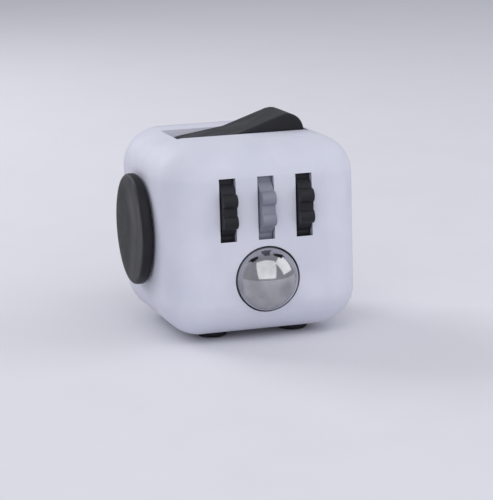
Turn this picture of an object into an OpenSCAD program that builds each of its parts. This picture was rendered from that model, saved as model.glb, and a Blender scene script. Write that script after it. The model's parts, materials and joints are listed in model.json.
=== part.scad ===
// Fidget cube: a rounded plastic cube with a different finger toy on each of its six faces.
// Front (-Y): three thumb gears and a rolling, pressable ball. Left (-X): a glide pad.
// Top (+Z): a rocker. Right (+X): a worry dish. Bottom (-Z): five buttons. Back (+Y): a dial.
// The origin lies under the middle of the cube, on the plane that the button tips stand on.

/* [Shell] */
// Width and depth of the shell across its flat faces
shell_w = 33; // [32.6:0.1:33.4]
// Height of the shell between its top and bottom faces
shell_h = 31.6; // [31.4:0.1:33]
// Radius of the rounded edges and corners
edge_r = 6.5; // [6:0.1:6.8]
// Thickness of the moulded wall
wall = 1.6; // [1.5:0.05:1.7]

/* [Thumb gears] */
// Spacing of the three gears along their axle
gear_pitch = 6.4; // [6.3:0.05:6.6]
// Width of one gear
gear_w = 2.35; // [2.1:0.05:2.4]
// Radius over the tips of the ribs
gear_tip_r = 6.1; // [5.8:0.05:6.1]
// Radius of the round hub between the ribs
gear_hub_r = 5.1; // [4.8:0.1:5.2]
// Number of double-ribbed teeth on a gear
gear_teeth = 4; // [3:1:4]
// Depth of the axle behind the front face
gear_depth = 3.7; // [3.6:0.05:3.9]
// Height of the axle above the middle of the front face
gear_up = 5.3; // [5.3:0.05:5.5]

/* [Ball] */
// Radius of the steel ball
ball_r = 5.45; // [5.3:0.05:5.5]
// Radius of the round opening in the front face
ball_hole_r = 5.38; // [5.35:0.01:5.4]
// Drop of the ball below the middle of the front face
ball_drop = 6.35; // [6.3:0.05:6.4]

/* [Glide pad] */
// Radius of the glide pad's cap
pad_r = 9.2; // [8.8:0.1:9.4]
// Distance that the pad slides each way from its centre
pad_travel = 1.5; // [1:0.1:1.5]
// Height of the pad's centre above the middle of the left face
pad_up = 0.5; // [0.3:0.1:0.6]

/* [Rocker] */
// Length of the rocker's slot
slot_l = 22.6; // [22.4:0.1:23]
// Width of the rocker's slot
slot_w = 10.4; // [10.2:0.1:10.6]
// Slope of each half of the rocker while it stands level
rocker_slope = 5; // [4.5:0.5:6]
// Tilt of the rocker to each side
rocker_tilt = 13.5; // [12:0.5:14]

/* [Buttons] */
// Radius of a button's tip
button_r = 2.55; // [2.4:0.05:2.6]
// Distance of each corner button from the middle, along X and Y
button_pitch = 7; // [6.9:0.1:7.1]
// Height that a button stands proud of the bottom face
button_proud = 1.2; // [1:0.1:1.4]

/* [Dial] */
// Radius of the dial
dial_r = 10.4; // [10.2:0.1:11]
// Height of the dial's rim above the back face
dial_h = 2.6; // [2.4:0.1:3]

/* [Hidden] */
$fn = 64;

// Facets around a corner of the shell, outside and inside
outer_facets = 48;
inner_facets = 32;

// Running clearance of a shaft in its bore, and the gap beside a part that moves
fit_gap = 0.05;
side_gap = 0.25;

half_w = shell_w/2;
half_h = shell_h/2;
mid_z = button_proud + half_h;
seam_y = half_w - edge_r;
seam_lip = 0.6;

// Small screws: shank, head and hole
screw_r = 0.6;
screw_head_r = 1.2;
screw_head_h = 0.7;
screw_hole_r = screw_r + fit_gap;
boss_r = 1.45;

axle_r = 0.95;
axle_half = 9.05;
rib_r = 1.15;
rib_centre_r = gear_tip_r - rib_r;
rib_half_pitch = 1.675;
rib_angle = asin(rib_half_pitch/rib_centre_r);
gear_pocket_r = gear_tip_r + 0.2;
gear_slot_w = gear_w + 0.4;
cheek_x = gear_pitch + gear_w/2 + 0.15;
cheek_t = axle_half - cheek_x;
bar_z = gear_depth + gear_tip_r + 0.5;
bar_t = 1.4;
bar_h = 4.6;
bracket_screw_x = 10.9;
bracket_flange_z = 3.6;
bracket_flange_t = 1.2;

ball_depth = 1.63;
ball_seat_r = sqrt(ball_hole_r*ball_hole_r + ball_depth*ball_depth);
cup_r = 5.2;
cup_rim = 4.4;
cup_base = 8.7;
cup_seat_r = ball_r + 0.08;
post_r = 1;
flange_r = 3.7;
flange_front = 8.9;
flange_back = 9.9;
stem_r = 1.6;
stem_end = 14.4;
guide_r = 4.7;
guide_floor = 12.6;
guide_mid = 14;
guide_end = 15.5;
guide_ear_x = 7.6;
guide_ear_front = 10.1;
guide_ear_back = 11.4;
switch_back = 17.4;

core_front = half_w + 1;
core_back = core_front + 1.4;
core_left = -9.2;
core_right = 11.8;
core_bottom = -9.8;
core_top = 8;
core_upper_x = 7.5;
cover_screw_at = 6.8;
cover_boss = 3.6;
cover_recess = 0.9;

pad_back = 0.35;
pad_front = 2.15;
pad_edge = 0.6;
dish_r = 8.1;
dish_depth = 0.7;
dish_sphere_r = (dish_r*dish_r + dish_depth*dish_depth)/(2*dish_depth);
pad_stem_r = 2.2;
pad_hole_r = pad_stem_r + pad_travel*sqrt(2) + 0.4;
pad_stem_end = 4.4;
skirt_r = 6.9;
skirt_z = 2.4;
skirt_t = 0.5;
carriage_z = 4.25;
carriage_t = 1.2;
carriage_x = 5.6;
carriage_y = 4;
foot_r = 2.9;
foot_z = 5.2;
housing_in = 5.75;
housing_out = 6.7;
housing_top = 2.75;
housing_floor = 5.45;
housing_back = 6.5;
housing_flange = 7.2;
housing_ear = 7.7;
ring_r = 5.42;
ring_wire_r = 0.25;

pivot_z = 2.6;
rocker_w = slot_w - 0.6;
rocker_v = -0.2;
end_r = 2.8;
end_x = 8.15;
end_z = end_x*tan(rocker_slope) - end_r/cos(rocker_slope) - rocker_v;
pin_r = 0.8;
frame_y = slot_w/2 + 0.3;
frame_t = 1.2;
frame_bottom = 7.3;
frame_floor = 6.2;
frame_x = 6;
frame_screw_x = 3.2;
frame_screw_y = 8.3;
frame_flange = 2.4;

worry_r = 9.6;
worry_depth = 2.2;
worry_sphere_r = (worry_r*worry_r + worry_depth*worry_depth)/(2*worry_depth);
worry_wall = 1.5;

button_flange_r = 3.2;
button_flange_t = 0.75;
button_hole_r = button_r + 0.15;
dome_r = 1.8;
dome_gap = 2.45;
board_z = 3.65;
board_t = 1;
board_half = 10.6;
board_notch_x = 3.6;
board_notch_y = 6.2;
board_screw_x = 9.4;
board_screw_y = 7.2;

hub_r = 2.4;
hub_end = 4.6;
bearing_r = 3.8;
bearing_back = 3.2;
ratchet_r = 4.6;
ratchet_notches = 12;
dial_leaf_angle = 45;

// Each of these puts a child, drawn with +Z outwards from a face, onto that face.
module on_front() {
    translate([0, -half_w, mid_z])
        rotate([90, 0, 0])
            children();
}
module on_back() {
    translate([0, half_w, mid_z])
        rotate([90, 0, 180])
            children();
}
module on_left() {
    translate([-half_w, 0, mid_z])
        rotate([90, 0, -90])
            children();
}
module on_right() {
    translate([half_w, 0, mid_z])
        rotate([90, 0, 90])
            children();
}
module on_top() {
    translate([0, 0, mid_z + half_h])
        children();
}
module on_bottom() {
    translate([0, 0, mid_z - half_h])
        rotate([180, 0, 0])
            children();
}
module at_gears() {
    on_front()
        translate([0, gear_up, -gear_depth])
            children();
}
module at_ball() {
    on_front()
        translate([0, -ball_drop, 0])
            children();
}
module at_pad() {
    on_left()
        translate([0, pad_up, 0])
            children();
}

// A cylinder from depth a to depth b behind the face that it stands on.
module rod(r, a, b) {
    translate([0, 0, -b])
        cylinder(r = r, h = b - a);
}

// A plate from depth a to depth b, centred on the face's axis.
module slab(x, y, a, b) {
    translate([-x/2, -y/2, -b])
        cube([x, y, b - a]);
}

// A pan-head screw whose head sits on depth z and whose shank runs towards the face.
module screw(z, length) {
    rod(screw_head_r, z, z + screw_head_h);
    rod(screw_r, z - length, z);
}

// A block with rounded edges. Its corner spheres are grown so that their facets reach the flat faces.
module rounded_block(w, d, h, r, facets) {
    hull()
        for (i = [-1, 1], j = [-1, 1], k = [-1, 1])
            translate([i*(w/2 - r), j*(d/2 - r), k*(h/2 - r)])
                sphere(r = r/cos(180/facets), $fn = facets);
}

module shell_outside() {
    translate([0, 0, mid_z])
        rounded_block(shell_w, shell_w, shell_h, edge_r, outer_facets);
}
module shell_inside() {
    translate([0, 0, mid_z])
        rounded_block(shell_w - 2*wall, shell_w - 2*wall, shell_h - 2*wall, edge_r - wall, inner_facets);
}
module half_space(y_low, y_high) {
    translate([-shell_w, y_low, -shell_h])
        cube([2*shell_w, y_high - y_low, 3*shell_h]);
}

module four_corners(x, y) {
    for (i = [-1, 1], j = [-1, 1])
        translate([i*x, j*y, 0])
            children();
}
module four_ways(r) {
    for (turn = [0 : 90 : 270])
        rotate([0, 0, turn])
            translate([r, 0, 0])
                children();
}
module both_sides(x) {
    for (i = [-1, 1])
        translate([i*x, 0, 0])
            children();
}
module board_screw_places() {
    both_sides(board_screw_x)
        children();
    translate([0, -board_screw_y, 0])
        children();
}
module button_place(i, j) {
    on_bottom()
        translate([i*button_pitch, -j*button_pitch, 0])
            children();
}

// Inward bulge that backs the worry dish, grown all round by a margin.
module worry_backing(margin) {
    intersection() {
        rod(worry_r + 0.3 + margin, wall/2, worry_depth + worry_wall + 1);
        translate([0, 0, worry_sphere_r - worry_depth])
            sphere(r = worry_sphere_r + worry_wall + margin, $fn = 128);
    }
}

// Bosses inside the shell that the brackets are screwed to, with blind screw holes.
module shell_bosses() {
    at_gears()
        both_sides(bracket_screw_x)
            rod(boss_r, wall/2 - gear_depth, bracket_flange_z - gear_depth);
    at_ball()
        both_sides(guide_ear_x)
            rod(boss_r, wall/2, guide_ear_front);
    at_pad()
        four_corners(housing_ear, housing_ear)
            rod(boss_r, wall/2, housing_top);
    on_top()
        four_corners(frame_screw_x, frame_screw_y)
            rod(boss_r, wall/2, frame_flange);
    on_bottom()
        board_screw_places()
            rod(boss_r, wall/2, board_z);
    on_right()
        worry_backing(0);
}
module shell_screw_holes() {
    at_gears()
        both_sides(bracket_screw_x)
            rod(screw_hole_r, 1 - gear_depth, gear_depth);
    at_ball()
        both_sides(guide_ear_x)
            rod(screw_hole_r, 6, 12);
    at_pad()
        four_corners(housing_ear, housing_ear)
            rod(screw_hole_r, 1, 4);
    on_top()
        four_corners(frame_screw_x, frame_screw_y)
            rod(screw_hole_r, 1, 4);
    on_bottom()
        board_screw_places()
            rod(screw_hole_r, 1, 5);
}
module shell_openings() {
    at_gears()
        for (i = [-1, 0, 1])
            translate([i*gear_pitch, 0, 0])
                rotate([0, 90, 0])
                    cylinder(r = gear_pocket_r, h = gear_slot_w, center = true);
    at_ball()
        translate([0, 0, -ball_depth])
            sphere(r = ball_seat_r);
    at_pad()
        rod(pad_hole_r, -1, 2*wall);
    on_top()
        slab(slot_l, slot_w, -1, 2*wall);
    for (i = [-1, 1], j = [-1, 1])
        button_place(i, j)
            rod(button_hole_r, -1, 2*wall);
    button_place(0, 0)
        rod(button_hole_r, -1, 2*wall);
    on_right()
        translate([0, 0, worry_sphere_r - worry_depth])
            sphere(r = worry_sphere_r, $fn = 128);
}
module main_shell() {
    color("white")
        difference() {
            union() {
                difference() {
                    shell_outside();
                    shell_inside();
                    half_space(seam_y, shell_w);
                }
                shell_bosses();
            }
            shell_openings();
            shell_screw_holes();
        }
}

module rear_cover() {
    lip_gap = 0.1;
    lip_t = 0.9;
    lip_w = shell_w - 2*wall - 2*lip_gap;
    lip_h = shell_h - 2*wall - 2*lip_gap;
    lip_edge = edge_r - wall - lip_gap;
    lip_clear_x = 12;
    lip_root = 2.4;
    color("white")
        difference() {
            union() {
                difference() {
                    shell_outside();
                    shell_inside();
                    half_space(-shell_w, seam_y);
                }
                // Locating lips along both sides that slip inside the main shell, clear of its bosses.
                difference() {
                    translate([0, 0, mid_z])
                        rounded_block(lip_w, shell_w, lip_h, lip_edge, inner_facets);
                    translate([0, 0, mid_z])
                        rounded_block(lip_w - 2*lip_t, 2*shell_w, lip_h - 2*lip_t, lip_edge - lip_t, inner_facets);
                    half_space(-shell_w, seam_y - seam_lip);
                    half_space(seam_y + lip_root, shell_w);
                    translate([-lip_clear_x, 0, 0])
                        cube([2*lip_clear_x, shell_w, 2*shell_h]);
                    on_right()
                        worry_backing(side_gap);
                }
                on_back() {
                    rod(bearing_r, wall/2, bearing_back);
                    four_ways(cover_screw_at)
                        rod(boss_r, wall/2, cover_boss);
                }
            }
            on_back() {
                rod(hub_r + fit_gap, -1, hub_end);
                four_ways(cover_screw_at) {
                    rod(screw_hole_r, -1, cover_boss + 1);
                    rod(screw_head_r + 0.15, -1, cover_recess);
                }
            }
        }
}

// Inner frame that ties the front brackets to the rear cover.
module core_frame() {
    plate_x = (core_left + core_right)/2;
    plate_y = (core_bottom + core_top)/2;
    color("dimgray")
        difference() {
            union() {
                on_front()
                    translate([plate_x, plate_y, 0])
                        slab(core_right - core_left, core_top - core_bottom, core_front, core_back);
                on_front()
                    four_ways(cover_screw_at)
                        rod(boss_r, core_front + 0.5, shell_w - cover_boss);
                at_gears()
                    both_sides(core_upper_x)
                        rod(boss_r, bar_z + bar_t - gear_depth, core_front + 0.5 - gear_depth);
                at_ball()
                    both_sides(guide_ear_x)
                        rod(boss_r, guide_ear_back, core_front + 0.5);
            }
            at_gears()
                both_sides(core_upper_x)
                    rod(screw_hole_r, gear_depth, core_back);
            at_ball()
                both_sides(guide_ear_x)
                    rod(screw_hole_r, guide_ear_front, core_back + 1);
            on_front()
                four_ways(cover_screw_at)
                    rod(screw_hole_r, core_back + 3, shell_w);
        }
}
module core_screws() {
    color("silver") {
        on_front()
            translate([0, gear_up, 0])
                both_sides(core_upper_x)
                    screw(core_back, core_back - bar_z - 0.2);
        at_ball()
            both_sides(guide_ear_x)
                screw(core_back, core_back - guide_ear_front + 3);
    }
}
module cover_screws() {
    color("silver")
        on_back()
            four_ways(cover_screw_at)
                translate([0, 0, -cover_recess])
                    mirror([0, 0, 1])
                        screw(0, 7);
}

// U-shaped bracket that carries the gear axle behind the front wall.
module gear_bracket() {
    flange_w = bracket_screw_x + boss_r - cheek_x;
    color("gray")
        at_gears()
            difference() {
                union() {
                    for (i = [-1, 1])
                        translate([i*(cheek_x + cheek_t/2), 0, 0])
                            slab(cheek_t, bar_h, -1.6, bar_z + bar_t - gear_depth);
                    slab(2*axle_half, bar_h, bar_z - gear_depth, bar_z + bar_t - gear_depth);
                    for (i = [-1, 1])
                        translate([i*(cheek_x + flange_w/2), 0, 0])
                            slab(flange_w, bar_h, bracket_flange_z - gear_depth,
                                 bracket_flange_z + bracket_flange_t - gear_depth);
                }
                rotate([0, 90, 0])
                    cylinder(r = axle_r, h = 4*axle_half, center = true);
                both_sides(bracket_screw_x)
                    rod(screw_hole_r, -gear_depth, gear_depth);
                both_sides(core_upper_x)
                    rod(screw_hole_r, bar_z - gear_depth - 1, bar_z + bar_t - gear_depth + 1);
            }
}
module gear_bracket_screws() {
    color("silver")
        on_front()
            translate([0, gear_up, 0])
                both_sides(bracket_screw_x)
                    screw(bracket_flange_z + bracket_flange_t, 3.4);
}
module gear_axle() {
    color("silver")
        at_gears()
            rotate([0, 90, 0])
                cylinder(r = axle_r, h = 2*axle_half, center = true);
}
module gear_spacers() {
    spacer_l = gear_pitch - gear_w - 0.3;
    color("gainsboro")
        at_gears()
            both_sides(gear_pitch/2)
                rotate([0, 90, 0])
                    difference() {
                        cylinder(r = 1.8, h = spacer_l, center = true);
                        cylinder(r = axle_r + fit_gap, h = 2*spacer_l, center = true);
                    }
}

// A thumb gear: a round hub with pairs of round ribs, one pair facing out at rest.
module thumb_gear(place) {
    at_gears()
        translate([place*gear_pitch, 0, 0])
            rotate([0, 90, 0])
                difference() {
                    union() {
                        cylinder(r = gear_hub_r, h = gear_w, center = true);
                        for (tooth = [0 : gear_teeth - 1], side = [-1, 1])
                            rotate([0, 0, 180 + tooth*360/gear_teeth + side*rib_angle])
                                translate([rib_centre_r, 0, 0])
                                    cylinder(r = rib_r, h = gear_w, center = true);
                    }
                    cylinder(r = axle_r + fit_gap, h = 2*gear_w, center = true);
                }
}
module left_gear() {
    color("#2b2b2f")
        thumb_gear(-1);
}
module middle_gear() {
    color("#9a9ba8")
        thumb_gear(0);
}
module right_gear() {
    color("#2b2b2f")
        thumb_gear(1);
}

// Comb-shaped leaf spring with one tongue behind each gear.
module gear_click_spring() {
    leaf_t = 0.25;
    leaf_back = bar_z - gear_depth;
    color("lightsteelblue")
        at_gears()
            union() {
                translate([0, -1.6, 0])
                    slab(2*cheek_x - 0.2, 1.2, leaf_back - leaf_t, leaf_back);
                for (i = [-1, 0, 1])
                    translate([i*gear_pitch, 0.4, 0])
                        slab(gear_w - 0.6, 4.8, leaf_back - leaf_t, leaf_back);
            }
}

module roller_ball() {
    color("silver")
        at_ball()
            translate([0, 0, -ball_depth])
                sphere(r = ball_r);
}
// Cup that the ball rolls in; it turns on the plunger's post.
module ball_cup() {
    color("whitesmoke")
        at_ball()
            difference() {
                rod(cup_r, cup_rim, cup_base);
                translate([0, 0, -ball_depth])
                    sphere(r = cup_seat_r);
                rod(post_r + fit_gap, cup_base - 1.15, cup_base + 1);
            }
}
module ball_plunger() {
    color("dimgray")
        at_ball()
            union() {
                rod(post_r, cup_base - 1, flange_front + 0.5);
                rod(flange_r, flange_front, flange_back);
                rod(stem_r, flange_back - 0.5, stem_end);
            }
}
// Fixed guide: a tube round the spring, a floor that the stem slides in, and two ears.
module ball_guide() {
    color("gray")
        at_ball()
            difference() {
                union() {
                    rod(guide_r, guide_ear_front, guide_end);
                    slab(2*guide_ear_x, 2*boss_r, guide_ear_front, guide_ear_back);
                    both_sides(guide_ear_x)
                        rod(boss_r, guide_ear_front, guide_ear_back);
                }
                rod(flange_r + 0.2, guide_ear_front - 1, guide_floor);
                rod(stem_r + fit_gap, guide_floor - 1, guide_mid + 1);
                rod(3.2, guide_mid, guide_end + 1);
                both_sides(guide_ear_x)
                    rod(screw_hole_r, guide_ear_front - 1, guide_ear_back + 1);
            }
}

// Points of a ring of the spring's wire, and the whole helix swept along them.
wire_sides = 8;
turn_steps = 16;
function helix_point(t, r, pitch) = [r*cos(360*t), r*sin(360*t), pitch*t];
function wire_ring(t, r, pitch, wire_r) = [
    for (k = [0 : wire_sides - 1])
        let (a = 360*k/wire_sides, c = helix_point(t, r + wire_r*cos(a), pitch))
            [c.x, c.y, c.z + wire_r*sin(a)]
];
module coil_spring(r, wire_r, length, turns) {
    steps = turns*turn_steps;
    pitch = (length - 2*wire_r)/turns;
    points = [for (i = [0 : steps]) each wire_ring(i/turn_steps, r, pitch, wire_r)];
    last = steps*wire_sides;
    faces = [
        [for (k = [0 : wire_sides - 1]) k],
        [for (k = [0 : wire_sides - 1]) last + wire_sides - 1 - k],
        for (i = [0 : steps - 1], k = [0 : wire_sides - 1])
            let (n = (k + 1) % wire_sides, a = i*wire_sides, b = a + wire_sides)
                each [[a + k, b + k, a + n], [a + n, b + k, b + n]]
    ];
    translate([0, 0, wire_r])
        polyhedron(points = points, faces = faces);
}
module ball_spring() {
    color("lightgray")
        at_ball()
            translate([0, 0, -guide_floor + 0.05])
                coil_spring(2.9, 0.22, guide_floor - flange_back - 0.1, 3);
}
// A shallow domed disc, hollow side down, standing on depth z.
module snap_dome(r, z, height) {
    thickness = 0.15;
    sphere_r = (r*r + height*height)/(2*height);
    intersection() {
        rod(r, z - height, z);
        translate([0, 0, height - sphere_r - z])
            difference() {
                sphere(r = sphere_r);
                sphere(r = sphere_r - thickness);
            }
    }
}
module ball_snap_dome() {
    color("gold")
        at_ball()
            snap_dome(2.8, guide_end, 0.9);
}
module ball_switch_base() {
    color("seagreen")
        at_ball()
            rod(guide_r - 0.4, guide_end, switch_back);
}

// Points along an arc of a turned outline.
arc_steps = 6;
function arc_points(x, z, r, from, to) = [
    for (i = [0 : arc_steps])
        let (a = from + (to - from)*i/arc_steps)
            [x + r*cos(a), z + r*sin(a)]
];
// The glide cap: a disc with rounded edges and a shallow dish, on a stem.
module glide_cap() {
    dish_angle = asin(dish_r/dish_sphere_r);
    dish_floor = pad_front - dish_depth;
    color("#26262a")
        at_pad()
            difference() {
                union() {
                    rotate_extrude()
                        polygon(concat(
                            [[0, pad_back]],
                            arc_points(pad_r - pad_edge, pad_back + pad_edge, pad_edge, -90, 0),
                            arc_points(pad_r - pad_edge, pad_front - pad_edge, pad_edge, 0, 90),
                            arc_points(0, dish_floor + dish_sphere_r, dish_sphere_r, -90 + dish_angle, -90)
                        ));
                    rod(pad_stem_r, -pad_back - 0.3, pad_stem_end);
                }
                rod(screw_hole_r, 1.2, pad_stem_end + 1);
            }
}
module glide_skirt() {
    color("#1d1d20")
        at_pad()
            difference() {
                rod(skirt_r, skirt_z - skirt_t, skirt_z);
                rod(pad_stem_r, 0, 2*skirt_z);
            }
}
// Cross slide: the housing guides it up and down, and its slot guides the stem sideways.
module glide_carriage() {
    slot_x = pad_stem_r + pad_travel + fit_gap;
    color("lightgray")
        at_pad()
            difference() {
                slab(2*carriage_x, 2*carriage_y, carriage_z - carriage_t, carriage_z);
                slab(2*slot_x, 2*(pad_stem_r + fit_gap), 0, 2*carriage_z);
            }
}
module glide_foot() {
    color("dimgray")
        at_pad()
            difference() {
                rod(foot_r, pad_stem_end, foot_z);
                rod(screw_hole_r, 0, 2*foot_z);
                rod(screw_head_r + 0.1, foot_z - 0.5, 2*foot_z);
            }
}
module glide_screw() {
    color("silver")
        at_pad()
            union() {
                rod(screw_head_r, foot_z - 0.5, foot_z);
                rod(screw_r, 1.6, foot_z - 0.5);
            }
}
module glide_housing() {
    color("gray")
        at_pad()
            difference() {
                union() {
                    slab(2*housing_out, 2*housing_out, housing_top, housing_back);
                    slab(2*housing_flange, 2*housing_flange, housing_top, housing_top + 1.3);
                    four_corners(housing_ear, housing_ear)
                        rod(boss_r, housing_top, housing_top + 1.3);
                }
                slab(2*housing_in, 2*housing_in, 0, housing_floor);
                four_corners(housing_ear, housing_ear)
                    rod(screw_hole_r, 0, 2*housing_back);
                // Room for the screw heads under the ears.
                four_corners(housing_ear, housing_ear)
                    rod(screw_head_r + 0.1, housing_top + 1.3, 2*housing_back);
            }
}
module glide_return_ring() {
    color("black")
        at_pad()
            translate([0, 0, 0.05 - (pad_stem_end + housing_floor)/2])
                rotate_extrude()
                    translate([ring_r, 0])
                        circle(r = ring_wire_r);
}
module glide_housing_screws() {
    color("silver")
        at_pad()
            four_corners(housing_ear, housing_ear)
                screw(housing_top + 1.3, 2.8);
}

// Side view of the rocker, level: a shallow V with round ends, and a keel under its pin.
module rocker_profile() {
    under = -3.6;
    keel = -5.4;
    polygon(concat(
        [[0, -rocker_v]],
        arc_points(end_x, end_z, end_r, 90 + rocker_slope, 0),
        [[end_x + end_r, under], [1.6, under], [0.4, keel], [-0.4, keel], [-1.6, under]],
        [[-end_x - end_r, under]],
        arc_points(-end_x, end_z, end_r, 180, 90 - rocker_slope)
    ));
}
module rocker() {
    color("#2b2b2f")
        on_top()
            translate([0, 0, -pivot_z])
                rotate([0, -rocker_tilt, 0])
                    translate([0, 0, pivot_z])
                        difference() {
                            rotate([90, 0, 0])
                                linear_extrude(height = rocker_w, center = true)
                                    rocker_profile();
                            translate([0, 0, -pivot_z])
                                rotate([90, 0, 0])
                                    cylinder(r = pin_r + fit_gap, h = 2*rocker_w, center = true);
                        }
}
module rocker_pin() {
    color("silver")
        on_top()
            translate([0, 0, -pivot_z])
                rotate([90, 0, 0])
                    cylinder(r = pin_r, h = 2*(frame_y + frame_t), center = true);
}
module rocker_frame() {
    ear_x = 2*(frame_screw_x + boss_r);
    flange_y = frame_screw_y + boss_r - frame_y;
    color("gray")
        on_top()
            difference() {
                union() {
                    slab(2*frame_x, 2*(frame_y + frame_t), frame_floor, frame_bottom);
                    for (i = [-1, 1]) {
                        translate([0, i*(frame_y + frame_t/2), 0])
                            slab(4, frame_t, wall + 0.1, frame_bottom);
                        translate([0, i*(frame_y + flange_y/2), 0])
                            slab(ear_x, flange_y, frame_flange, frame_flange + frame_t);
                    }
                }
                translate([0, 0, -pivot_z])
                    rotate([90, 0, 0])
                        cylinder(r = pin_r, h = 4*frame_y, center = true);
                four_corners(frame_screw_x, frame_screw_y)
                    rod(screw_hole_r, 0, 2*frame_flange);
            }
}
module rocker_detent_spring() {
    color("lightsteelblue")
        on_top()
            union() {
                slab(10, 3, frame_floor - 0.3, frame_floor);
                translate([0, 0, -frame_floor + 0.3])
                    rotate([90, 0, 0])
                        cylinder(r = 0.22, h = 3, center = true);
            }
}
module rocker_frame_screws() {
    color("silver")
        on_top()
            four_corners(frame_screw_x, frame_screw_y)
                screw(frame_flange + frame_t, 2.4);
}

module push_button(i, j) {
    edge = 0.35;
    button_place(i, j)
        union() {
            rotate_extrude()
                polygon([
                    [0, -dome_gap + 0.3], [button_r, -dome_gap + 0.3], [button_r, button_proud - edge],
                    [button_r - edge, button_proud], [0, button_proud]
                ]);
            rod(button_flange_r, wall + fit_gap, wall + fit_gap + button_flange_t);
        }
}
module front_left_button() {
    color("#2b2b2f")
        push_button(-1, -1);
}
module front_right_button() {
    color("#2b2b2f")
        push_button(1, -1);
}
module centre_button() {
    color("#2b2b2f")
        push_button(0, 0);
}
module rear_left_button() {
    color("#9a9ba8")
        push_button(-1, 1);
}
module rear_right_button() {
    color("#9a9ba8")
        push_button(1, 1);
}
module button_dome(i, j) {
    button_place(i, j)
        snap_dome(dome_r, board_z, board_z - dome_gap - 0.05);
}
module quiet_pad(i, j) {
    button_place(i, j)
        rod(dome_r - 0.3, dome_gap + 0.05, board_z);
}
module front_left_dome() {
    color("gold")
        button_dome(-1, -1);
}
module front_right_dome() {
    color("gold")
        button_dome(1, -1);
}
module centre_dome() {
    color("gold")
        button_dome(0, 0);
}
module rear_left_pad() {
    color("ivory")
        quiet_pad(-1, 1);
}
module rear_right_pad() {
    color("ivory")
        quiet_pad(1, 1);
}
// Board behind the buttons, notched at the front to clear the ball's cup.
module click_board() {
    color("seagreen")
        on_bottom()
            difference() {
                slab(2*board_half, 2*board_half, board_z, board_z + board_t);
                translate([-board_notch_x, board_notch_y, -2*board_z])
                    cube([2*board_notch_x, board_half, 2*board_z]);
                board_screw_places()
                    rod(screw_hole_r, 0, 2*board_z);
            }
}
module board_screws() {
    color("silver")
        on_bottom()
            board_screw_places()
                screw(board_z + board_t, 3.2);
}

// The dial: a disc with a raised rim, a finger bump and a hub that turns in the rear cover.
module dial() {
    rim_t = 1.8;
    floor_h = 1.5;
    back_gap = 0.3;
    bump_r = 1.1;
    bump_x = 5.6;
    color("#26262a")
        on_back()
            difference() {
                union() {
                    rotate_extrude()
                        polygon(concat(
                            [[0, back_gap]],
                            arc_points(dial_r - 0.5, back_gap + 0.5, 0.5, -90, 0),
                            arc_points(dial_r - 0.7, dial_h - 0.7, 0.7, 0, 90),
                            arc_points(dial_r - rim_t + 0.4, dial_h - 0.4, 0.4, 90, 180),
                            [[dial_r - rim_t - 0.6, floor_h], [0, floor_h]]
                        ));
                    rod(hub_r, -floor_h, hub_end);
                    translate([0, bump_x, floor_h])
                        sphere(r = bump_r);
                }
                rod(screw_hole_r, 0.6, hub_end + 1);
            }
}
module dial_ratchet() {
    color("whitesmoke")
        on_back()
            difference() {
                rod(ratchet_r, bearing_back + 0.15, hub_end);
                rod(hub_r, 0, 2*hub_end);
                for (i = [0 : ratchet_notches - 1])
                    rotate([0, 0, dial_leaf_angle + i*360/ratchet_notches])
                        translate([ratchet_r + 0.3, 0, 0])
                            rod(0.7, 0, 2*hub_end);
            }
}
module dial_washer() {
    color("silver")
        on_back()
            difference() {
                rod(3.4, hub_end, hub_end + 0.4);
                rod(screw_hole_r, 0, 2*hub_end);
            }
}
module dial_screw() {
    color("silver")
        on_back()
            union() {
                rod(screw_head_r, hub_end + 0.4, hub_end + 1.1);
                rod(screw_r, 1.2, hub_end + 0.4);
            }
}
// Leaf beside the ratchet, standing on the inside of the cover, with a bump that meets the notches.
module dial_click_spring() {
    leaf_x = ratchet_r + 0.45;
    color("lightsteelblue")
        on_back()
            rotate([0, 0, dial_leaf_angle])
                union() {
                    translate([leaf_x, -2.6, -hub_end])
                        cube([0.25, 5.2, hub_end - wall]);
                    translate([leaf_x, 0, 0])
                        rod(0.3, bearing_back + 0.3, hub_end - 0.1);
                }
}

main_shell();
rear_cover();
core_frame();
core_screws();
cover_screws();
gear_bracket();
gear_bracket_screws();
gear_axle();
gear_spacers();
left_gear();
middle_gear();
right_gear();
gear_click_spring();
roller_ball();
ball_cup();
ball_plunger();
ball_guide();
ball_spring();
ball_snap_dome();
ball_switch_base();
glide_cap();
glide_skirt();
glide_carriage();
glide_foot();
glide_screw();
glide_housing();
glide_return_ring();
glide_housing_screws();
rocker();
rocker_pin();
rocker_frame();
rocker_detent_spring();
rocker_frame_screws();
front_left_button();
front_right_button();
centre_button();
rear_left_button();
rear_right_button();
front_left_dome();
front_right_dome();
centre_dome();
rear_left_pad();
rear_right_pad();
click_board();
board_screws();
dial();
dial_ratchet();
dial_washer();
dial_screw();
dial_click_spring();
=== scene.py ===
import json
import math

import bmesh
import bpy
from mathutils import Matrix, Vector


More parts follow.
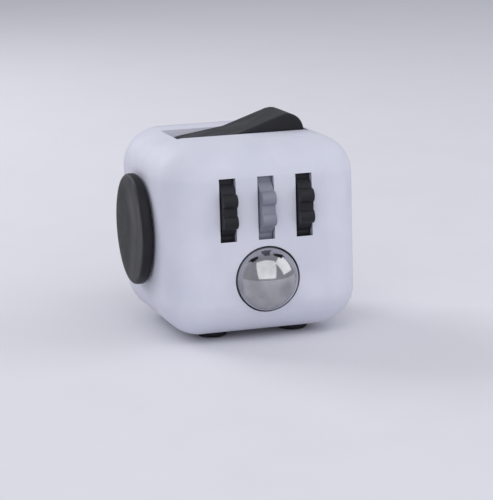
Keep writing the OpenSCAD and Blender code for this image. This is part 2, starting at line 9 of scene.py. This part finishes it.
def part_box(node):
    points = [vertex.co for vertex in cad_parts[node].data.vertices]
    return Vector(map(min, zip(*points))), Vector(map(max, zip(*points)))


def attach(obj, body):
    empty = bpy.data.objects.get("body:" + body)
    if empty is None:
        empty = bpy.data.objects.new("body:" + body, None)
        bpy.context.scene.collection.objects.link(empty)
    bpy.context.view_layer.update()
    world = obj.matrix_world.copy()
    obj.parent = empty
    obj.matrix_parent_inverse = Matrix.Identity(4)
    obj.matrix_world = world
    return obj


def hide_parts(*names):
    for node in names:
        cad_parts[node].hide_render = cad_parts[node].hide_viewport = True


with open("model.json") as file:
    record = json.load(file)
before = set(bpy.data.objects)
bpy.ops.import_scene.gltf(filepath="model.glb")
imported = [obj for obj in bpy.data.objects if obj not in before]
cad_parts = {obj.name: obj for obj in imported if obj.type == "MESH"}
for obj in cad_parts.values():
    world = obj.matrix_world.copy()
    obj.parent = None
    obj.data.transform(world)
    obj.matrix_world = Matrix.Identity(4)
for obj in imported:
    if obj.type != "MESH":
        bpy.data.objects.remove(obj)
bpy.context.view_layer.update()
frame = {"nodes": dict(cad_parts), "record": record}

MM = 0.001
NODES = frame["nodes"]

# ---------------------------------------------------------------- places taken from the frame
shell_low, shell_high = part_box("main_shell")
cover_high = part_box("rear_cover")[1]
cube_low = shell_low
cube_high = Vector((shell_high.x, cover_high.y, shell_high.z))
cube_centre = (cube_low + cube_high) / 2
ball_low, ball_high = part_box("roller_ball")
ball_centre = (ball_low + ball_high) / 2
ball_radius = (ball_high.z - ball_low.z) / 2

# The shell ends where the rounding of the cube's back edges starts, so the rest is their radius.
cube_edge_radius = cover_high.y - shell_high.y

# ---------------------------------------------------------------- finish of the edges
# Rounding in millimetres: of the shell's openings, of the pieces that are touched, and of the rest.
OPENING_EDGE = 0.13
TOUCHED_EDGES = {
    "left_gear": 0.1,
    "middle_gear": 0.1,
    "right_gear": 0.1,
    "rocker": 0.3,
}
FINE_EDGE = 0.06

# Corners closer than this many millimetres are one corner.
SAME_CORNER = 0.0005

# Angles between neighbouring faces, in degrees: one flat face, a corner to pick, an edge to round.
FLAT_ANGLE = 0.4
CORNER_ANGLE = 30
ROUNDED_ANGLE = 32

# ---------------------------------------------------------------- studio, in millimetres and degrees
FLOOR_HALF = 3000
FLOOR_DROP = 0.02
WORLD_STRENGTH = 0.55

CAMERA_DISTANCE = 360
CAMERA_AIM_UP = 0.7
CAMERA_STANDS_AT = (-16.81, 10.64)
CAMERA_LOOKS_FROM = (-17.05, 11.48)
CAMERA_LEAN = -1.58
CAMERA_VIEW_HEIGHT = 13.3
CAMERA_SENSOR = 36
CAMERA_NEAR = 10
CAMERA_FAR = 20000


# ---------------------------------------------------------------- materials
def srgb(red, green, blue):
    """A colour given as screen values from 0 to 255, as the linear colour that Blender wants."""
    def linear(value):
        value /= 255
        return value / 12.92 if value <= 0.04045 else ((value + 0.055) / 1.055) ** 2.4
    return (linear(red), linear(green), linear(blue), 1)


class Surface:
    """A node material with a Principled shader, and short ways to add what varies over it."""

    def __init__(self, name, roughness, metallic=0.0):
        self.material = bpy.data.materials.new(name)
        self.material.use_nodes = True
        self.tree = self.material.node_tree
        self.shader = self.tree.nodes["Principled BSDF"]
        self.shader.inputs["Roughness"].default_value = roughness
        self.shader.inputs["Metallic"].default_value = metallic
        self.place = self.tree.nodes.new("ShaderNodeTexCoord").outputs["Object"]
        self.normal = None

    def link(self, source, target):
        self.tree.links.new(source, target)

    def noise(self, size, detail=2.0, stretch=(1, 1, 1)):
        """Noise whose blobs are about size millimetres across, from 0 to 1."""
        place = self.place
        if stretch != (1, 1, 1):
            mapping = self.tree.nodes.new("ShaderNodeMapping")
            mapping.inputs["Scale"].default_value = stretch
            self.link(self.place, mapping.inputs["Vector"])
            place = mapping.outputs["Vector"]
        noise = self.tree.nodes.new("ShaderNodeTexNoise")
        noise.inputs["Scale"].default_value = 1 / (size * MM)
        noise.inputs["Detail"].default_value = detail
        self.link(place, noise.inputs["Vector"])
        return noise.outputs["Fac"]

    def spread(self, source, low, high, to_low=0.0, to_high=1.0):
        """Maps source from low..high to to_low..to_high."""
        node = self.tree.nodes.new("ShaderNodeMapRange")
        node.interpolation_type = "SMOOTHSTEP"
        ends = {"From Min": low, "From Max": high, "To Min": to_low, "To Max": to_high}
        for socket, value in ends.items():
            node.inputs[socket].default_value = value
        self.link(source, node.inputs["Value"])
        return node.outputs["Result"]

    def mix_colour(self, share, first, second):
        """A mix of two colours, each a colour or another node's output."""
        node = self.tree.nodes.new("ShaderNodeMix")
        node.data_type = "RGBA"
        self.link(share, node.inputs[0])
        for socket, colour in ((node.inputs[6], first), (node.inputs[7], second)):
            if isinstance(colour, tuple):
                socket.default_value = colour
            else:
                self.link(colour, socket)
        return node.outputs[2]

    def colour(self, source):
        self.link(source, self.shader.inputs["Base Color"])

    def roughness(self, source):
        self.link(source, self.shader.inputs["Roughness"])

    def bump(self, source, depth):
        """Raises the surface by depth millimetres where source is 1. Bumps add up."""
        node = self.tree.nodes.new("ShaderNodeBump")
        node.inputs["Strength"].default_value = 1
        node.inputs["Distance"].default_value = depth * MM
        self.link(source, node.inputs["Height"])
        if self.normal is not None:
            self.link(self.normal, node.inputs["Normal"])
        self.normal = node.outputs["Normal"]
        self.link(self.normal, self.shader.inputs["Normal"])


def moulded_plastic(name, colour, shade, roughness=0.5, grain=0.006, gloss=0.5):
    """Matte moulded plastic: spark-eroded grain, faint clouding in the colour, and handling marks."""
    surface = Surface(name, roughness)
    surface.shader.inputs["Specular IOR Level"].default_value = gloss
    clouds = surface.noise(7, 3)
    flecks = surface.noise(0.35, 2)
    tone = surface.mix_colour(surface.spread(clouds, 0.3, 0.75), colour, shade)
    surface.colour(surface.mix_colour(surface.spread(flecks, 0.55, 0.8, 0, 0.35), tone, shade))
    smudges = surface.noise(4, 4, (1, 1, 0.6))
    surface.roughness(surface.spread(smudges, 0.3, 0.7, roughness - 0.06, roughness + 0.08))
    surface.bump(surface.noise(0.28, 3), grain)
    surface.bump(surface.noise(9, 1), grain * 2)
    return surface.material


def turned_steel(name, colour, roughness=0.3, stretch=(1, 1, 1)):
    """Plated or ground metal with fine lines and darker spots."""
    surface = Surface(name, roughness, metallic=1)
    lines = surface.noise(0.25, 2, stretch)
    spots = surface.spread(surface.noise(2, 3), 0.4, 0.8, 0, 0.5)
    dark = tuple(c * 0.6 for c in colour[:3]) + (1,)
    surface.colour(surface.mix_colour(spots, colour, dark))
    surface.roughness(surface.spread(lines, 0.3, 0.7, roughness - 0.08, roughness + 0.12))
    surface.bump(lines, 0.002)
    return surface.material


def polished_ball(name):
    """Polished bearing steel with hairline handling scratches and a faint film."""
    surface = Surface(name, 0.08, metallic=1)
    film = surface.spread(surface.noise(3, 4), 0.3, 0.8)
    surface.colour(surface.mix_colour(film, srgb(186, 186, 188), srgb(160, 160, 163)))
    scratches = surface.noise(0.5, 5, (6, 1, 1))
    surface.roughness(surface.spread(scratches, 0.35, 0.75, 0.07, 0.16))
    surface.bump(surface.noise(1.2, 2), 0.0006)
    return surface.material


def rubber(name, colour, shade):
    """Dull moulded rubber with a fine dusty grain."""
    surface = Surface(name, 0.75)
    surface.colour(surface.mix_colour(surface.spread(surface.noise(1, 3), 0.3, 0.7), colour, shade))
    surface.roughness(surface.spread(surface.noise(0.8, 2), 0.3, 0.7, 0.65, 0.85))
    surface.bump(surface.noise(0.2, 2), 0.008)
    return surface.material


def laminate(name):
    """Glass-filled board: a faint woven pattern under green lacquer."""
    surface = Surface(name, 0.35)
    weave = surface.tree.nodes.new("ShaderNodeTexWave")
    weave.inputs["Scale"].default_value = 1 / (2.2 * MM)
    surface.link(surface.place, weave.inputs["Vector"])
    surface.colour(surface.mix_colour(weave.outputs["Fac"], srgb(20, 92, 58), srgb(26, 106, 68)))
    surface.roughness(surface.spread(surface.noise(2, 3), 0.3, 0.7, 0.28, 0.45))
    surface.bump(weave.outputs["Fac"], 0.004)
    return surface.material


MATERIALS = {
    "shell_plastic": moulded_plastic(
        "shell_plastic", srgb(213, 214, 226), srgb(205, 207, 220), roughness=0.6, grain=0.004, gloss=0.4),
    "black_plastic": moulded_plastic(
        "black_plastic", srgb(33, 33, 37), srgb(42, 42, 47), gloss=0.2),
    "grey_plastic": moulded_plastic(
        "grey_plastic", srgb(133, 135, 149), srgb(122, 124, 138), roughness=0.48),
    "inner_plastic": moulded_plastic(
        "inner_plastic", srgb(120, 120, 124), srgb(108, 108, 112)),
    "slide_plastic": moulded_plastic(
        "slide_plastic", srgb(226, 224, 214), srgb(216, 213, 202), roughness=0.35, grain=0.003),
    "screw_steel": turned_steel("screw_steel", srgb(190, 190, 192), 0.32),
    "pin_steel": turned_steel("pin_steel", srgb(200, 200, 204), 0.22, (1, 8, 8)),
    "spring_steel": turned_steel("spring_steel", srgb(170, 174, 184), 0.28, (8, 1, 1)),
    "dome_brass": turned_steel("dome_brass", srgb(214, 180, 104), 0.25),
    "soft_rubber": rubber("soft_rubber", srgb(52, 52, 52), srgb(64, 63, 62)),
    "board_laminate": laminate("board_laminate"),
    "ball_chrome": polished_ball("ball_chrome"),
}


def paint(piece, slot):
    piece.data.materials.clear()
    piece.data.materials.append(MATERIALS[slot])


for row in frame["record"]["subparts"]:
    paint(NODES[row["node"]], row["material_slot"])


# ---------------------------------------------------------------- finishing the CAD pieces
def on_cube_skin(place, slack=0.03):
    """Is this place on the outside of the rounded cube, to within slack millimetres?"""
    half = (cube_high - cube_low) / 2
    out = [abs(p - c) - h + cube_edge_radius for p, c, h in zip(place, cube_centre, half)]
    past = Vector([max(value, 0) for value in out])
    return abs(past.length + min(max(out), 0) - cube_edge_radius) < slack * MM


def near(value, other, slack=0.02):
    """Are two measures in metres the same, to within slack millimetres?"""
    return abs(value - other) < slack * MM


def at_seam(place):
    return on_cube_skin(place) and near(place.y, shell_high.y, 0.01)


def at_ball_hole(place):
    return near(place.y, shell_low.y) and place.z < ball_high.z


def at_rocker_slot(place):
    return near(place.z, shell_high.z) and place.y < shell_high.y - 1 * MM


# Each opening is rounded on its own, so that no edge between two openings is taken along.
OPENINGS = {
    "main_shell": [at_seam, at_ball_hole, at_rocker_slot],
    "rear_cover": [at_seam],
}


def exact(place):
    """A place in millimetres, rounded so that two copies of one corner compare equal."""
    return tuple(round(value / MM, 4) for value in place)


def sharp_corners(piece, wanted):
    """The end points of the piece's sharp edges, where both ends of an edge are wanted places."""
    work = bmesh.new()
    work.from_mesh(piece.data)
    bmesh.ops.remove_doubles(work, verts=work.verts, dist=SAME_CORNER * MM)
    ends = set()
    for edge in work.edges:
        if len(edge.link_faces) == 2 and edge.calc_face_angle(0) > math.radians(CORNER_ANGLE):
            if all(wanted(vert.co) for vert in edge.verts):
                ends.update(exact(vert.co) for vert in edge.verts)
    work.free()
    return ends


def add_bevel(piece, width, wanted=None, clamp=False):
    """Rounds sharp edges by width millimetres, or only those between wanted places."""
    bevel = piece.modifiers.new("rounded_edges", "BEVEL")
    bevel.width = width * MM
    bevel.segments = 1 if clamp else 3
    bevel.use_clamp_overlap = clamp
    bevel.miter_outer = "MITER_ARC"
    if wanted is None:
        bevel.limit_method = "ANGLE"
        bevel.angle_limit = math.radians(ROUNDED_ANGLE)
        return
    ends = sharp_corners(piece, wanted)
    group = piece.vertex_groups.new(name="rounded_edges")
    group.add([v.index for v in piece.data.vertices if exact(v.co) in ends], 1, "REPLACE")
    bevel.limit_method = "VGROUP"
    bevel.vertex_group = group.name


def finish_cad(node):
    """Joins the CAD facets into one smooth skin and rounds its sharp edges."""
    piece = NODES[node]
    for name in ("custom_normal", "sharp_edge", "sharp_face"):
        if name in piece.data.attributes:
            piece.data.attributes.remove(piece.data.attributes[name])
    piece.data.shade_smooth()
    weld = piece.modifiers.new("weld", "WELD")
    weld.merge_threshold = SAME_CORNER * MM
    flat = piece.modifiers.new("flat_faces", "DECIMATE")
    flat.decimate_type = "DISSOLVE"
    flat.angle_limit = math.radians(FLAT_ANGLE)
    for wanted in OPENINGS.get(node, []):
        add_bevel(piece, OPENING_EDGE, wanted)
    if node in TOUCHED_EDGES:
        add_bevel(piece, TOUCHED_EDGES[node])
    else:
        add_bevel(piece, FINE_EDGE, clamp=True)
    normals = piece.modifiers.new("smooth_normals", "WEIGHTED_NORMAL")
    normals.mode = "FACE_AREA"
    normals.weight = 80
    normals.keep_sharp = True


for node in NODES:
    finish_cad(node)


# ---------------------------------------------------------------- the ball
def add_mesh(name, work):
    """Turns a bmesh into an object of the scene."""
    mesh = bpy.data.meshes.new(name)
    work.to_mesh(mesh)
    work.free()
    piece = bpy.data.objects.new(name, mesh)
    bpy.context.scene.collection.objects.link(piece)
    return piece


def make_ball():
    """A ball without facets, in the place of the CAD one."""
    work = bmesh.new()
    bmesh.ops.create_icosphere(work, subdivisions=6, radius=ball_radius)
    bmesh.ops.translate(work, verts=work.verts, vec=ball_centre)
    ball = add_mesh("steel_ball", work)
    ball.data.shade_smooth()
    paint(ball, "ball_chrome")
    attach(ball, "roller_ball")
    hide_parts("roller_ball")


make_ball()


# ---------------------------------------------------------------- floor, light and camera
def make_floor():
    """A sheet of pale paper, just under the button tips."""
    work = bmesh.new()
    half = FLOOR_HALF * MM
    bmesh.ops.create_grid(work, x_segments=1, y_segments=1, size=half)
    bmesh.ops.translate(work, verts=work.verts, vec=(0, 0, -FLOOR_DROP * MM))
    floor = add_mesh("floor", work)
    surface = Surface("floor_paper", 0.7)
    surface.colour(surface.mix_colour(surface.noise(30, 3), srgb(222, 222, 228), srgb(226, 226, 231)))
    surface.roughness(surface.spread(surface.noise(10, 2), 0.3, 0.7, 0.65, 0.8))
    floor.data.materials.append(surface.material)


def make_world():
    """Even, slightly blue light from all round."""
    world = bpy.data.worlds.new("studio")
    world.use_nodes = True
    background = world.node_tree.nodes["Background"]
    background.inputs["Color"].default_value = srgb(232, 234, 244)
    background.inputs["Strength"].default_value = WORLD_STRENGTH
    bpy.context.scene.world = world


def add_light(name, place, size, power):
    """A square soft light that faces the cube, at a place in millimetres from the cube's centre."""
    light = bpy.data.lights.new(name, "AREA")
    light.size = size * MM
    light.energy = power
    holder = bpy.data.objects.new(name, light)
    bpy.context.scene.collection.objects.link(holder)
    holder.location = cube_centre + Vector(place) * MM
    holder.rotation_mode = "QUATERNION"
    holder.rotation_quaternion = (cube_centre - holder.location).to_track_quat("-Z", "Y")


def direction(azimuth, elevation):
    """The way from the cube to a camera that stands at this azimuth and elevation, in degrees."""
    a, e = math.radians(azimuth), math.radians(elevation)
    return Vector((math.sin(a) * math.cos(e), -math.cos(a) * math.cos(e), math.sin(e)))


def make_camera():
    """A camera that looks a little past the cube's centre, and leans slightly."""
    aim = cube_centre + Vector((0, 0, CAMERA_AIM_UP * MM))
    place = aim + direction(*CAMERA_STANDS_AT) * CAMERA_DISTANCE * MM
    back = direction(*CAMERA_LOOKS_FROM)
    right = Vector((0, 0, 1)).cross(back).normalized()
    up = back.cross(right)
    lean = math.radians(CAMERA_LEAN)
    leaned_right = right * math.cos(lean) + up * math.sin(lean)
    leaned_up = up * math.cos(lean) - right * math.sin(lean)
    data = bpy.data.cameras.new("camera")
    data.sensor_width = CAMERA_SENSOR
    data.lens = CAMERA_SENSOR / 2 / math.tan(math.radians(CAMERA_VIEW_HEIGHT) / 2)
    data.clip_start = CAMERA_NEAR * MM
    data.clip_end = CAMERA_FAR * MM
    camera = bpy.data.objects.new("camera", data)
    bpy.context.scene.collection.objects.link(camera)
    axes = Matrix((leaned_right, leaned_up, back)).transposed().to_4x4()
    camera.matrix_world = Matrix.Translation(place) @ axes
    bpy.context.scene.camera = camera


make_floor()
make_world()
add_light("back_left_panel", (-270, 400, 260), size=300, power=1.2)
add_light("front_panel", (-90, -560, 430), size=900, power=2.7)
add_light("right_panel", (460, -160, 300), size=460, power=0.7)
make_camera()
bpy.context.scene.view_settings.view_transform = "Standard"
